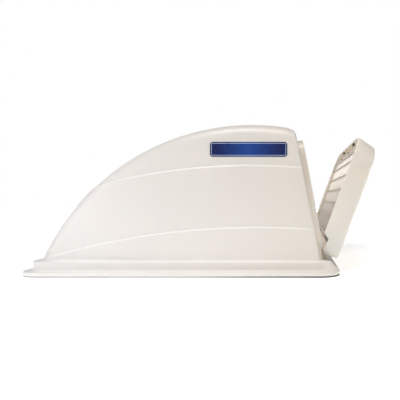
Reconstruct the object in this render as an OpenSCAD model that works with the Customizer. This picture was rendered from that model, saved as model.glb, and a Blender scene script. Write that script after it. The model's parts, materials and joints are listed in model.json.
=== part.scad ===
// Roof vent cover: a moulded hood over a roof vent, with a louvred door at its rear.
// The origin is the middle of the base plane. +X points to the door and +Z up.
// The door is drawn ajar. It swings on two pins and is kept shut by two slide latches.

/* [Base] */
// Length of the base flange
flange_l = 536; // [530:1:545]
// Width of the base flange
flange_w = 480; // [478:1:490]
// Corner radius of the base flange
flange_r = 35; // [30:1:40]
// Height of the lip round the flange
lip_h = 6; // [5.5:0.5:7]
// Distance from the flange's side edge to the plinth
plinth_side_inset = 19; // [18:0.5:20]
// Distance from the flange's front edge to the plinth
plinth_front_inset = 9; // [8:0.5:12]
// Distance from the flange's rear edge to the plinth
plinth_rear_inset = 12; // [11:0.5:13]
// Height of the plinth the hood stands on
plinth_h = 20; // [19:0.5:21]
// Height of the lowered plinth behind the hood, under the door
rear_sill_h = 12; // [11.5:0.5:12.5]

/* [Hood] */
// Wall thickness of the hood
wall = 3; // [2.5:0.1:3.2]
// Radius of the hood's roof in side view
roof_r = 405; // [403:0.5:407]
// Distance of the roof's highest point behind the middle of the base
roof_x = 115; // [112:1:118]
// Height of the roof's highest point
roof_top = 258; // [256:0.5:260]
// Rounding of the long edges between roof and sides
edge_r = 24; // [20:1:26]
// Width of the hood at its foot
hood_w = 432; // [430:1:434]
// Inward slope of the hood's sides
draft = 4.5; // [4:0.1:5]
// Step in the hood's side at each crease
side_step = 2.5; // [2:0.1:3]
// Step in the hood's roof at each crease
roof_step = 1.2; // [0.8:0.1:1.5]
// Radius of the lower crease in side view
low_crease_r = 1290; // [1200:10:1400]
// Highest point of the lower crease
low_crease_z = 78; // [74:1:82]
// Radius of the upper crease in side view
high_crease_r = 1043; // [1000:1:1100]
// Highest point of the upper crease
high_crease_z = 184; // [180:1:188]

/* [Rear opening] */
// Forward lean of the hood's rear wall
rear_lean = 10.8; // [10.4:0.1:11.2]
// Distance from the middle of the base to the foot of the rear wall
rear_x = 234; // [233:0.5:235]
// Thickness of the rear wall
rear_wall = 4; // [3.6:0.1:4.4]
// Width of the collar
collar_w = 382; // [380:0.5:383]
// Lower edge of the collar, along the rear wall
collar_low = 22; // [21.5:0.5:23]
// Upper edge of the collar, along the rear wall
collar_high = 208.7; // [208:0.1:209]
// Distance that the collar stands out of the rear wall
collar_out = 10; // [9:0.5:10]
// Wall thickness of the collar
collar_wall = 2.5; // [2.2:0.1:2.8]

/* [Door] */
// Angle of the door from shut, as drawn
door_angle = 31.1; // [0:0.1:60]
// Width of the door
door_w = 394; // [393:0.5:396]
// Lower edge of the door, along the rear wall when shut
door_low = 2; // [1.5:0.5:3]
// Upper edge of the door, along the rear wall when shut
door_high = 219.5; // [219:0.5:220]
// Depth of the door
door_d = 37.5; // [36.5:0.5:38]
// Wall thickness of the door
door_wall = 2.5; // [2.2:0.1:2.7]
// Radius of the door's upper corners
door_corner_r = 40; // [36:1:42]
// Rounding along the top of the door's back
door_back_r = 22; // [18:1:24]
// Number of louvres
louvres = 7; // [5:1:7]
// Distance between louvres
louvre_pitch = 21.4; // [20:0.2:21.6]
// Thickness of a louvre blade
blade_t = 1.8; // [1.4:0.1:2.2]

/* [Hinge] */
// Distance of the hinge axis behind the rear wall
hinge_out = 14.8; // [14.5:0.1:15.2]
// Distance of the hinge axis up the rear wall
hinge_up = 10; // [9.5:0.1:10.5]
// Radius of a hinge pin
pin_r = 2.5; // [2:0.1:3]
// Radial clearance of a hinge pin in the door
pin_play = 0.05; // [0.02:0.01:0.1]

/* [Latches] */
// Distance of each latch from the middle of the door when released
latch_y = 80; // [75:1:85]
// Travel of a latch button
latch_travel = 11; // [11:0.5:12]

/* [Brackets] */
// Distance between front and rear bracket holes
bracket_pitch_x = 300; // [280:1:300]
// Distance between left and right bracket holes
bracket_pitch_y = 394; // [392:1:396]
// Radius of the roof screw hole in a bracket
bracket_hole_r = 2.6; // [2.2:0.1:2.8]
// Thickness of a bracket
bracket_t = 2.5; // [2:0.1:2.5]

/* [Hidden] */
$fn = 96;

// Colours
ivory = [0.90, 0.88, 0.84];
ivory_dark = [0.84, 0.81, 0.76];
charcoal = [0.16, 0.16, 0.18];
steel = [0.70, 0.71, 0.73];
brass = [0.78, 0.62, 0.32];
mesh_grey = [0.62, 0.61, 0.59];
label_blue = [0.13, 0.27, 0.55];

// Reach of cutting shapes and gaps between pieces
big = 1000;
eps = 0.5;
over = 5;
slide_gap = 0.2;
snug_gap = 0.02;
slot_t = 0.8;

// Base
plinth_x0 = -flange_l / 2 + plinth_front_inset;
plinth_x1 = flange_l / 2 - plinth_rear_inset;
plinth_w = flange_w - 2 * plinth_side_inset;
plinth_r = flange_r - 7;
lip_t = 4;
shelf_t = 3;

// Hood: the roof and the sides turn about one cross axis
axis_z = roof_top - roof_r;
foot_radius = plinth_h + 5 - axis_z;
side_at_axis = hood_w / 2 + tan(draft) * foot_radius;
hollow_cut = 0.75 * (edge_r - wall);

// Rear frame
collar_in = 7;
collar_corner_r = 27;
keeper_gap = 7;
keeper_x = 7.5;
keeper_l = 10;
keeper_t = 2.5;
keeper_h = 8.7;
tab_w = 18;
tab_h = 15;
side_tab_w = 12;
tab_t = 2.8;
frame_screw_r = 1.7;
frame_head_r = 3;
frame_head_h = 2.2;
frame_hole_r = 1.9;
frame_screw_at = [
    [100, 217], [-100, 217], [100, 14], [-100, 14],
    [196, 50], [-196, 50], [196, 105], [-196, 105]
];
function is_side(p) = abs(p[0]) > 150;
function tab_size(p) = is_side(p) ? [side_tab_w, tab_w] : [tab_w, tab_h];
function tab_shift(p) = is_side(p) ? [-1.5 * sign(p[0]), 0] : [0, p[1] > 100 ? -1.5 : 3];

// Hinge: ears on the frame, bosses on the door, and one pin each side
ear_y0 = 183;
ear_t = 6;
ear_r = 6;
ear_room = 2.5;
ear_foot = [-2, 26];
ear_top_v = 44;
boss_gap = 1;
pin_head_r = 4.2;
pin_head_h = 2;

// Door
door_gap = 0.5;
door_setback = 10.5;
setback_low = 29;
setback_high = 37;
louvre_low = 52;
blade_x = 29.5;
slot_h = 10;
mullion_w = 5;
ledge_w = 8;
ledge_t = 2.5;
ledge_x = 7.2;
ledge_outer = [360, 173];
ledge_mid_v = 116.5;
ledge_r = 9;
mullion_h = ledge_outer[1] - 4;
screen_t = 0.8;
screen_frame_t = 2.2;
screen_screw_r = 1.4;
screen_head_r = 2.6;
screen_head_h = 1.8;
screen_screw_l = 9;
screen_hole_r = 1.6;
post_r = 3.2;
post_l = 7;
bars = 5;
bar_h = 2.2;
bar_l = ledge_outer[0] - ledge_w;
bar_low = 67;
bar_pitch = 27.5;
screen_screw_at = [
    [176, 60], [-176, 60], [176, 173], [-176, 173],
    [60, 34], [-60, 34], [60, 199], [-60, 199]
];

// Latches
stem_n = 4.5;
stem_w = 3;
stem_l = 4;
tongue_w = 3.8;
tongue_l = 10;
tongue_t = 3;
button_w = 6.5;
button_l = 8;
button_h = 4.3;
button_step = 0.8;
latch_screw_r = 1.2;
latch_head_r = 1.8;
latch_head_h = 1.28;

// Brackets
bracket_w = 48;
bracket_h = 16.6;
bolt_half_pitch = 14;
bracket_foot_in = 9;
bracket_foot_l = 13;
bolt_z = 10;
boss_face_y = 209.5;
boss_r = 6;
bore_l = 7.7;
bolt_r = 2.45;
bolt_l = 12;
bolt_head_r = 4.6;
bolt_head_h = 3;
hex_r = 2.3;
hex_h = 2;
bolt_hole_r = 2.7;
washer_r = 5.2;
washer_t = 1.2;
washer_y = boss_face_y - 2 * snug_gap - bracket_t - washer_t;
insert_r = 3.5;
insert_l = 7.2;

// Labels
label_x = 111;
label_z = 212;
label_l = 134;
label_h = 26;
label_r = 5;
label_t = 0.4;

// Helpers

// Rectangle with round corners, centred
module round_rect(l, w, r) {
    union() {
        square([l - 2 * r, w], center = true);
        square([l, w - 2 * r], center = true);
        for (sx = [-1, 1], sy = [-1, 1]) {
            translate([sx * (l / 2 - r), sy * (w / 2 - r)])
                circle(r = r);
        }
    }
}

// Upright rectangle from v0 to v1 whose two upper corners are round
module arched_rect(w, v0, v1, r) {
    union() {
        translate([-w / 2, v0])
            square([w, v1 - r - v0]);
        translate([-w / 2 + r, v0])
            square([w - 2 * r, v1 - v0]);
        for (side = [-1, 1]) {
            translate([side * (w / 2 - r), v1 - r])
                circle(r = r);
        }
    }
}

// Puts children on the rear wall: x out of the wall, y across it, z up along it
module on_rear_wall() {
    translate([rear_x, 0, plinth_h + 5])
        rotate([0, -rear_lean, 0])
            children();
}

// As on_rear_wall, but swung open with the door
module on_door() {
    on_rear_wall()
        translate([hinge_out, 0, hinge_up])
            rotate([0, door_angle, 0])
                translate([-hinge_out, 0, -hinge_up])
                    children();
}

// Extrudes a y-z outline from x0 to x1
module out_of_wall(x0, x1) {
    translate([x0, 0, 0])
        rotate([90, 0, 90])
            linear_extrude(x1 - x0)
                children();
}

// Extrudes an x-z outline across y, from y0 to y1
module across(y0, y1) {
    translate([0, y1, 0])
        rotate([90, 0, 0])
            linear_extrude(y1 - y0)
                children();
}

// Cylinder along +X, standing on [x, y, z]
module rod_x(at, r, l) {
    translate(at)
        rotate([0, 90, 0])
            cylinder(r = r, h = l);
}

// Cylinder along +Y, standing on [x, y, z]
module rod_y(at, r, l) {
    translate(at)
        rotate([-90, 0, 0])
            cylinder(r = r, h = l);
}

// Hood skin

// Outline of one band, turned about the cross axis
module band_section(side_out, roof_out, r) {
    side0 = side_at_axis + side_out;
    top = roof_r + roof_out;
    centre_r = top - r;
    touch_r = centre_r + r * sin(draft);
    touch_y = side0 - tan(draft) * touch_r;
    centre_y = touch_y - r * cos(draft);
    polygon([
        [0, -side0], [touch_r, -touch_y], [top, -centre_y],
        [top, centre_y], [touch_r, touch_y], [0, side0]
    ]);
    for (side = [-1, 1]) {
        translate([centre_r, side * centre_y])
            circle(r = r);
    }
}

// Outline of the space inside one band, with its long edges cut flat
module hollow_section(side_out, roof_out, cut) {
    side0 = side_at_axis + side_out;
    top = roof_r + roof_out;
    cut_y = side0 - tan(draft) * (top - cut);
    polygon([
        [0, -side0], [top - cut, -cut_y], [top, cut - cut_y],
        [top, cut_y - cut], [top - cut, cut_y], [0, side0]
    ]);
}

// Turns a section about the hood's cross axis
module turned() {
    translate([roof_x, 0, axis_z])
        rotate([90, 0, 0])
            rotate_extrude($fn = 360)
                children();
}

// Everything below a crease whose highest point is at top_z
module below_crease(top_z, r) {
    translate([0, 0, top_z - r])
        rotate([90, 0, 0])
            cylinder(r = r, h = big, center = true, $fn = 720);
}

// Keeps the part of a band that is under its crease
module capped_band(crease_x, crease_z, crease_r) {
    intersection() {
        turned()
            children();
        translate([crease_x, 0, 0])
            below_crease(crease_z, crease_r);
    }
}

// The three bands of the hood, as a solid: each lower band stands further out
module hood_solid() {
    turned()
        band_section(-2 * side_step, 0, edge_r);
    capped_band(roof_x, high_crease_z, high_crease_r)
        band_section(-side_step, roof_step, edge_r);
    capped_band(roof_x + 15, low_crease_z, low_crease_r)
        band_section(0, 2 * roof_step, edge_r);
}

// The space inside the three bands
module hood_hollow() {
    turned()
        hollow_section(-2 * side_step - wall, -wall, hollow_cut);
    capped_band(roof_x, high_crease_z - wall, high_crease_r)
        hollow_section(-side_step - wall, roof_step - wall, hollow_cut);
    capped_band(roof_x + 15, low_crease_z - wall, low_crease_r)
        hollow_section(-wall, 2 * roof_step - wall, hollow_cut);
}

// Cuts children off at the rear wall, moved forward by inset, and at the base
module within_hood(inset, floor_z) {
    intersection() {
        union() {
            children();
        }
        translate([-flange_l, -flange_w / 2, floor_z])
            cube([2 * flange_l, flange_w, roof_top]);
        ahead_of_rear_wall(inset);
    }
}

// Everything in front of the rear wall's outer face, moved forward by inset
module ahead_of_rear_wall(inset) {
    on_rear_wall()
        translate([-big - inset, -big / 2, -big / 2])
            cube([big, big, big]);
}

module plinth_outline(inset, x1) {
    translate([(plinth_x0 + x1) / 2, 0])
        round_rect(x1 - plinth_x0 - 2 * inset, plinth_w - 2 * inset, plinth_r - inset);
}

// Flange, lip and plinth as a solid
module base_solid() {
    linear_extrude(lip_h)
        round_rect(flange_l, flange_w, flange_r);
    difference() {
        linear_extrude(plinth_h)
            plinth_outline(0, plinth_x1);
        translate([rear_x - 10, -door_w / 2 - 4, rear_sill_h])
            cube([big, door_w + 8, plinth_h]);
    }
}

// Space under the plinth and under the flange
module base_hollow() {
    translate([0, 0, -eps])
        linear_extrude(rear_sill_h - wall + eps)
            plinth_outline(wall, plinth_x1);
    translate([0, 0, -eps])
        linear_extrude(plinth_h - wall + eps)
            plinth_outline(wall, rear_x);
    translate([0, 0, -eps])
        linear_extrude(lip_h - shelf_t + eps)
            difference() {
                round_rect(flange_l - 2 * lip_t, flange_w - 2 * lip_t, flange_r - lip_t);
                plinth_outline(0, plinth_x1);
            }
}

// Where the eight bracket bolts are: [x, side]
function bolt_places() = [
    for (fx = [-1, 1], side = [-1, 1], k = [-1, 1])
        [fx * bracket_pitch_x / 2 + k * bolt_half_pitch, side]
];

module dome_shell() {
    color(ivory)
        difference() {
            union() {
                difference() {
                    union() {
                        base_solid();
                        within_hood(0, 5)
                            hood_solid();
                    }
                    base_hollow();
                    within_hood(rear_wall, 4)
                        hood_hollow();
                }
                for (p = bolt_places()) {
                    mirror([0, p[1] < 0 ? 1 : 0, 0])
                        rod_y([p[0], boss_face_y, bolt_z], boss_r, plinth_w / 2 - boss_face_y - 1);
                }
            }
            for (p = bolt_places()) {
                mirror([0, p[1] < 0 ? 1 : 0, 0])
                    rod_y([p[0], boss_face_y - eps, bolt_z], insert_r + snug_gap, bore_l + eps);
            }
            on_rear_wall()
                out_of_wall(-2 * rear_wall, eps)
                    arched_rect(collar_w + 2 * slide_gap, collar_low - slide_gap,
                        collar_high + slide_gap, collar_corner_r + slide_gap);
            on_rear_wall()
                for (p = frame_screw_at) {
                    rod_x([-rear_wall - eps, p[0], p[1]], frame_screw_r + snug_gap, rear_wall);
                }
        }
}

module hinge_ear() {
    difference() {
        across(ear_y0, ear_y0 + ear_t) {
            polygon([
                ear_foot, [ear_foot[0], ear_top_v], [collar_out, ear_top_v],
                [hinge_out + 0.9 * ear_r, hinge_up + 0.43 * ear_r], [hinge_out, hinge_up],
                [hinge_out - 0.9 * ear_r, hinge_up - 0.4 * ear_r], [1, ear_foot[1] - 2]
            ]);
            translate([hinge_out, hinge_up])
                circle(r = ear_r);
        }
        rod_y([hinge_out, ear_y0 - eps, hinge_up], pin_r + snug_gap, ear_t + 2 * eps);
    }
}

module rear_frame() {
    color(ivory_dark)
        on_rear_wall() {
            difference() {
                union() {
                    out_of_wall(-collar_in, collar_out)
                        arched_rect(collar_w, collar_low, collar_high, collar_corner_r);
                    out_of_wall(-rear_wall - slide_gap - tab_t, -rear_wall - slide_gap)
                        for (p = frame_screw_at) {
                            translate(p + tab_shift(p))
                                square(tab_size(p), center = true);
                        }
                }
                out_of_wall(-big / 10, big / 10)
                    arched_rect(collar_w - 2 * collar_wall, collar_low + collar_wall,
                        collar_high - collar_wall, collar_corner_r - collar_wall);
                for (p = frame_screw_at) {
                    rod_x([-big / 10, p[0], p[1]], frame_hole_r, big / 10);
                }
            }
            for (side = [0, 1]) {
                mirror([0, side, 0]) {
                    hinge_ear();
                    translate([keeper_x, latch_y + keeper_gap, collar_high - 1])
                        cube([keeper_t, keeper_l, keeper_h]);
                }
            }
        }
}

module frame_screws() {
    x0 = -collar_in - frame_head_h - 0.1;
    color(steel)
        on_rear_wall()
            for (p = frame_screw_at) {
                difference() {
                    union() {
                        rod_x([x0, p[0], p[1]], frame_head_r, frame_head_h);
                        rod_x([x0, p[0], p[1]], frame_screw_r, collar_in + 1.7);
                    }
                    translate([x0 + eps, p[0], p[1]])
                        cube([2 * slot_t, slot_t, 1.47 * frame_head_r], center = true);
                }
            }
}

// Door

module door_outline(inset) {
    arched_rect(door_w - 2 * inset, door_low + inset, door_high - inset, door_corner_r - inset);
}

// Side view of the door with the long rounding at the top of its back
module door_profile(inset) {
    x1 = door_d - inset;
    v1 = door_high - inset;
    r = door_back_r - inset;
    translate([-eps, door_low - eps])
        square([x1 - r + eps, v1 - door_low + eps]);
    translate([-eps, door_low - eps])
        square([x1 + eps, v1 - r - door_low + eps]);
    translate([x1 - r, v1 - r])
        circle(r = r);
}

module door_solid(inset, x0) {
    intersection() {
        out_of_wall(x0, door_d - inset)
            door_outline(inset);
        across(-door_w, door_w)
            door_profile(inset);
    }
}

module screen_outline(inset) {
    translate([0, ledge_mid_v])
        round_rect(ledge_outer[0] - 2 * inset, ledge_outer[1] - 2 * inset, ledge_r - inset);
}

function louvre_v(i) = louvre_low + i * louvre_pitch;

// Width of each of the three bays between the mullions
bay = (ledge_outer[0] - 2 * ledge_w - 2 * mullion_w) / 3;

module louvre_slots() {
    for (i = [0 : louvres - 1], b = [-1, 0, 1]) {
        translate([door_d - 2 * door_wall, b * (bay + mullion_w) - bay / 2, louvre_v(i) - slot_h / 2])
            cube([3 * door_wall, bay, slot_h]);
    }
}

module louvre_blades() {
    half = ledge_outer[0] / 2 - door_wall + 1;
    rise = 1.4 * blade_t;
    for (i = [0 : louvres - 1]) {
        across(-half, half)
            polygon([
                [door_d - 0.2, louvre_v(i) - slot_h / 2 - 1],
                [door_d - 0.2, louvre_v(i) - slot_h / 2 - 1 + rise],
                [blade_x, louvre_v(i) + slot_h / 2 + rise - 1],
                [blade_x, louvre_v(i) + slot_h / 2 - 1]
            ]);
    }
}

module louvre_door() {
    boss_y = ear_y0 + ear_t + boss_gap;
    color(ivory)
        on_door()
            difference() {
                union() {
                    difference() {
                        door_solid(0, door_gap);
                        door_solid(door_wall, -eps);
                        louvre_slots();
                    }
                    louvre_blades();
                    screen_seat();
                    for (side = [0, 1]) {
                        mirror([0, side, 0])
                            rod_y([hinge_out, boss_y, hinge_up], ear_r, door_w / 2 - boss_y - 1);
                    }
                }
                across(-door_w, door_w)
                    polygon([
                        [-over, door_low - over], [door_setback, door_low - over],
                        [door_setback, setback_low], [0, setback_high], [-over, setback_high]
                    ]);
                for (side = [0, 1]) {
                    mirror([0, side, 0]) {
                        rod_y([hinge_out, ear_y0 - 3, hinge_up], pin_r + pin_play, 4 * over);
                        ear_space();
                        latch_slot();
                    }
                }
                for (p = screen_screw_at) {
                    rod_x([ledge_x - eps, p[0], p[1]], screen_screw_r + snug_gap, over + eps);
                }
            }
}

// Box of walls round the louvres, with a ledge and posts for the screen and its frame
module screen_seat() {
    difference() {
        out_of_wall(ledge_x, door_d - 1)
            screen_outline(0);
        out_of_wall(ledge_x - eps, ledge_x + ledge_t + eps)
            screen_outline(ledge_w);
        out_of_wall(ledge_x + ledge_t, door_d)
            screen_outline(door_wall);
    }
    for (p = screen_screw_at) {
        rod_x([ledge_x + 1, p[0], p[1]], post_r, post_l);
    }
    for (side = [-1, 1]) {
        translate([ledge_x + 1, side * (bay + mullion_w) / 2 - mullion_w / 2, ledge_mid_v - mullion_h / 2])
            cube([door_d - ledge_x - 2, mullion_w, mullion_h]);
    }
}

// Room in the bottom of the door for one ear, all the way through its swing
module ear_space() {
    across(ear_y0 - 4, ear_y0 + ear_t + 0.8) {
        translate([hinge_out, hinge_up])
            circle(r = ear_r + ear_room);
        translate([-over, door_low - over])
            square([hinge_out + over, hinge_up - door_low + over]);
    }
}

// Slot in the top of the door in which one latch slides outwards
module latch_slot() {
    gap = 2 * slide_gap;
    translate([stem_n - stem_w / 2 - slide_gap, latch_y - stem_l / 2 - slide_gap, door_high - over])
        cube([stem_w + gap, stem_l + latch_travel + gap, 2 * over]);
}

module insect_screen() {
    color(mesh_grey)
        on_door()
            difference() {
                out_of_wall(ledge_x - screen_t, ledge_x - snug_gap)
                    screen_outline(1);
                for (p = screen_screw_at) {
                    rod_x([ledge_x - over, p[0], p[1]], screen_hole_r, 2 * over);
                }
            }
}

module screen_frame() {
    x1 = ledge_x - screen_t - snug_gap;
    color(ivory_dark)
        on_door() {
            difference() {
                out_of_wall(x1 - screen_frame_t, x1)
                    screen_outline(0);
                out_of_wall(x1 - screen_frame_t - eps, x1 + eps)
                    screen_outline(ledge_w);
                for (p = screen_screw_at) {
                    rod_x([x1 - over, p[0], p[1]], screen_hole_r, 2 * over);
                }
            }
            for (i = [0 : bars - 1]) {
                translate([x1 - screen_frame_t, -bar_l / 2, bar_low + i * bar_pitch - bar_h / 2])
                    cube([screen_frame_t, bar_l, bar_h]);
            }
        }
}

module screen_screws() {
    x0 = ledge_x - screen_t - screen_frame_t - 2 * snug_gap;
    color(steel)
        on_door()
            for (p = screen_screw_at) {
                difference() {
                    union() {
                        rod_x([x0 - screen_head_h, p[0], p[1]], screen_head_r, screen_head_h);
                        rod_x([x0 - screen_head_h, p[0], p[1]], screen_screw_r, screen_screw_l);
                    }
                    translate([x0 - screen_head_h, p[0], p[1]])
                        cube([2 * slot_t, slot_t, 1.47 * screen_head_r], center = true);
                }
            }
}

// Hinge pins: fixed in the ears, running in the door

module hinge_pin() {
    on_rear_wall() {
        rod_y([hinge_out, ear_y0 - pin_head_h - snug_gap, hinge_up], pin_head_r, pin_head_h);
        rod_y([hinge_out, ear_y0 - 1, hinge_up], pin_r, door_w / 2 - ear_y0 + 0.6);
    }
}

module hinge_pin_left() {
    color(ivory_dark)
        hinge_pin();
}

module hinge_pin_right() {
    color(ivory_dark)
        mirror([0, 1, 0])
            hinge_pin();
}

// Latches

module latch_button() {
    v0 = door_high + slide_gap;
    difference() {
        union() {
            translate([stem_n - 3, latch_y - button_l / 2, v0])
                cube([button_w, button_l, button_h - 1]);
            translate([stem_n - 3 + button_step, latch_y - button_l / 2 + button_step, v0])
                cube([button_w - 2 * button_step, button_l - 2 * button_step, button_h]);
        }
        translate([stem_n, latch_y, v0 - eps])
            cylinder(r = latch_screw_r + snug_gap, h = 3 + eps);
    }
}

module latch_tongue() {
    v1 = door_high - door_wall - slide_gap;
    difference() {
        union() {
            translate([stem_n - tongue_w / 2, latch_y - tongue_l / 2, v1 - tongue_t])
                cube([tongue_w, tongue_l, tongue_t]);
            translate([stem_n - stem_w / 2, latch_y - stem_l / 2, v1 - 1])
                cube([stem_w, stem_l, door_high - v1 + slide_gap - snug_gap + 1]);
        }
        translate([stem_n, latch_y, v1 - tongue_t - eps])
            cylinder(r = latch_screw_r + snug_gap, h = 2 * over);
    }
}

module latch_screw() {
    v1 = door_high - door_wall - slide_gap - tongue_t;
    translate([stem_n, latch_y, v1 - latch_head_h - snug_gap])
        difference() {
            union() {
                cylinder(r = latch_head_r, h = latch_head_h);
                cylinder(r = latch_screw_r, h = door_high - v1 + 3.6);
            }
            translate([0, 0, 0.2])
                cube([1.5 * latch_head_r, slot_t, 1.5 * slot_t], center = true);
        }
}

module latch_button_left() {
    color(charcoal)
        on_door()
            latch_button();
}

module latch_button_right() {
    color(charcoal)
        on_door()
            mirror([0, 1, 0])
                latch_button();
}

module latch_tongue_left() {
    color(charcoal)
        on_door()
            latch_tongue();
}

module latch_tongue_right() {
    color(charcoal)
        on_door()
            mirror([0, 1, 0])
                latch_tongue();
}

module latch_screw_left() {
    color(steel)
        on_door()
            latch_screw();
}

module latch_screw_right() {
    color(steel)
        on_door()
            mirror([0, 1, 0])
                latch_screw();
}

// Brackets

module bracket() {
    y1 = boss_face_y - snug_gap;
    color(steel)
        difference() {
            union() {
                translate([-bracket_w / 2, y1 - bracket_t, 0])
                    cube([bracket_w, bracket_t, bracket_h]);
                translate([-bracket_w / 2, bracket_pitch_y / 2, 0])
                    cube([bracket_w, y1 - bracket_pitch_y / 2, bracket_t]);
                translate([-bracket_w / 2 + bracket_foot_in, bracket_pitch_y / 2 - bracket_foot_l, 0])
                    cube([bracket_w - 2 * bracket_foot_in, bracket_foot_l + 1, bracket_t]);
            }
            translate([0, bracket_pitch_y / 2, -eps])
                cylinder(r = bracket_hole_r, h = bracket_t + 2 * eps);
            for (k = [-1, 1]) {
                rod_y([k * bolt_half_pitch, y1 - bracket_t - eps, bolt_z], bolt_hole_r, bracket_t + 2 * eps);
            }
        }
}

module bracket_front_left() {
    translate([-bracket_pitch_x / 2, 0, 0])
        bracket();
}

module bracket_front_right() {
    mirror([0, 1, 0])
        bracket_front_left();
}

module bracket_rear_left() {
    translate([bracket_pitch_x / 2, 0, 0])
        bracket();
}

module bracket_rear_right() {
    mirror([0, 1, 0])
        bracket_rear_left();
}

// Puts children at every bracket bolt, with +y towards the side of the hood
module at_bolts() {
    for (p = bolt_places()) {
        mirror([0, p[1] < 0 ? 1 : 0, 0])
            translate([p[0], 0, bolt_z])
                children();
    }
}

module bracket_bolts() {
    head_y = washer_y - snug_gap - bolt_head_h;
    color(steel)
        at_bolts()
            difference() {
                union() {
                    rod_y([0, head_y, 0], bolt_head_r, bolt_head_h);
                    rod_y([0, head_y + hex_h, 0], bolt_r, bolt_l);
                }
                rod_y([0, head_y - eps, 0], hex_r, hex_h + eps, $fn = 6);
            }
}

module bracket_washers() {
    color(steel)
        at_bolts()
            difference() {
                rod_y([0, washer_y, 0], washer_r, washer_t);
                rod_y([0, washer_y - eps, 0], bolt_hole_r, washer_t + 2 * eps);
            }
}

module bracket_inserts() {
    color(brass)
        at_bolts()
            difference() {
                rod_y([0, boss_face_y + slide_gap, 0], insert_r, insert_l);
                rod_y([0, boss_face_y, 0], bolt_r + 2 * snug_gap, 2 * over);
            }
}

// Labels

module label() {
    color(label_blue)
        intersection() {
            difference() {
                turned()
                    band_section(label_t - 2 * side_step, label_t, edge_r + label_t);
                turned()
                    band_section(snug_gap - 2 * side_step, snug_gap, edge_r + snug_gap);
            }
            translate([label_x, 0, label_z])
                across(0, flange_w)
                    round_rect(label_l, label_h, label_r);
        }
}

module label_left() {
    label();
}

module label_right() {
    mirror([0, 1, 0])
        label();
}

dome_shell();
rear_frame();
frame_screws();
louvre_door();
insect_screen();
screen_frame();
screen_screws();
hinge_pin_left();
hinge_pin_right();
latch_button_left();
latch_button_right();
latch_tongue_left();
latch_tongue_right();
latch_screw_left();
latch_screw_right();
bracket_front_left();
bracket_front_right();
bracket_rear_left();
bracket_rear_right();
bracket_bolts();
bracket_washers();
bracket_inserts();
label_left();
label_right();
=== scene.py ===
import json
import math

import bmesh
import bpy
import numpy as np
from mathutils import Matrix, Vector
from mathutils.geometry import delaunay_2d_cdt


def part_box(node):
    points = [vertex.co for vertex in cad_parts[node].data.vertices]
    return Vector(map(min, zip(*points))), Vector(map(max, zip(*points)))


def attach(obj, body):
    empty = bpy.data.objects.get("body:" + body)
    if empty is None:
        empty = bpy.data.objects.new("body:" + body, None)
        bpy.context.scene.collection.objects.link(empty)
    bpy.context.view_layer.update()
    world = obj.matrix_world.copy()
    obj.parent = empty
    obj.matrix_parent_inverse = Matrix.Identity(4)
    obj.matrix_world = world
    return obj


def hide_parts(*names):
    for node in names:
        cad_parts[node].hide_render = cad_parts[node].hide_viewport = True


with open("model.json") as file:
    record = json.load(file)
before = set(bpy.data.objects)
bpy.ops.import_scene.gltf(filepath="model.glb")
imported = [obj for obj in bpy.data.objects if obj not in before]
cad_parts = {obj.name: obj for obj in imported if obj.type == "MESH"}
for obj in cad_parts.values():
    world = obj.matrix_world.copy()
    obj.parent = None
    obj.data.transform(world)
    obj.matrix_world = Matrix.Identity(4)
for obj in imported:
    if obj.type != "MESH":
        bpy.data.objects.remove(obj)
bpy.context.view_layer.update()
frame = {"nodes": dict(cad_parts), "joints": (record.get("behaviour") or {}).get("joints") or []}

MM = 0.001

# ---------- the hood's dimensions, in millimetres
hood_lo, hood_hi = (np.array(corner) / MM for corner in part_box("dome_shell"))
FLANGE_L = hood_hi[0] - hood_lo[0]
FLANGE_W = hood_hi[1] - hood_lo[1]
FLANGE_R = 35.0
FLANGE_X = (hood_lo[0] + hood_hi[0]) / 2
PLINTH_X0 = hood_lo[0] + 9.0
PLINTH_X1 = hood_hi[0] - 12.0
PLINTH_HALF = FLANGE_W / 2 - 19.0
PLINTH_R = 28.0
PLINTH_TOP = 20.0
FOOT_Z = 25.0
HOOD_WALL = 2.8

# The low sill behind the hood, how its two ends rise, and where the skin has points across it
SILL_TOP = 12.0
SILL_LIP = 0.8
SILL_END = 199.5
SILL_RISE = 5.0
SILL_DEEP = 12.0
SILL_MIDDLE = np.linspace(-196, 196, 41)
SILL_RAMP = np.append(np.arange(198.5, 205), 206.0)

ROOF_R = 405.0
ROOF_X = 115.0
AXIS_Z = hood_hi[2] - ROOF_R
EDGE_R = 24.0
DRAFT = math.radians(4.5)
SIDE_STEP = 2.5
ROOF_STEP = 1.2
FOOT_HALF = 216.0
CROWN = 1.2

# Each crease is a long arc: the x of its top, the z of its top and its radius
CREASES = ((130.0, 78.0, 1290.0), (115.0, 184.0, 1043.0))
LEDGE_H = 3.4
BEAD = 0.25
BEAD_BELOW = 1.3
BEAD_H = 1.2

REAR_X = 234.0
REAR_LEAN = math.radians(10.8)
REAR_ROUND = 6.0

# Rows and points of the hood's skin
ROWS = 130
ROW_SEARCH = np.linspace(0, 0.6, 2000)
CREASE_ROWS = (-4, -3, -2, -1.2, -0.5, 0, 0.5, 1.2, 2, 3, 4)
CREASE_ROW_GAP = 1.4
DENSE = 500
EDGE_STEPS = np.array([0.0, 0.6, 1.2, 1.8, 2.5, 3.6, 6.0])
BAND_FILL = 10
ROOF_FILL = 16
WALL_SHARES = (0.12, 0.5, 0.9, 1.0)
TOO_CLOSE = 0.05

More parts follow.
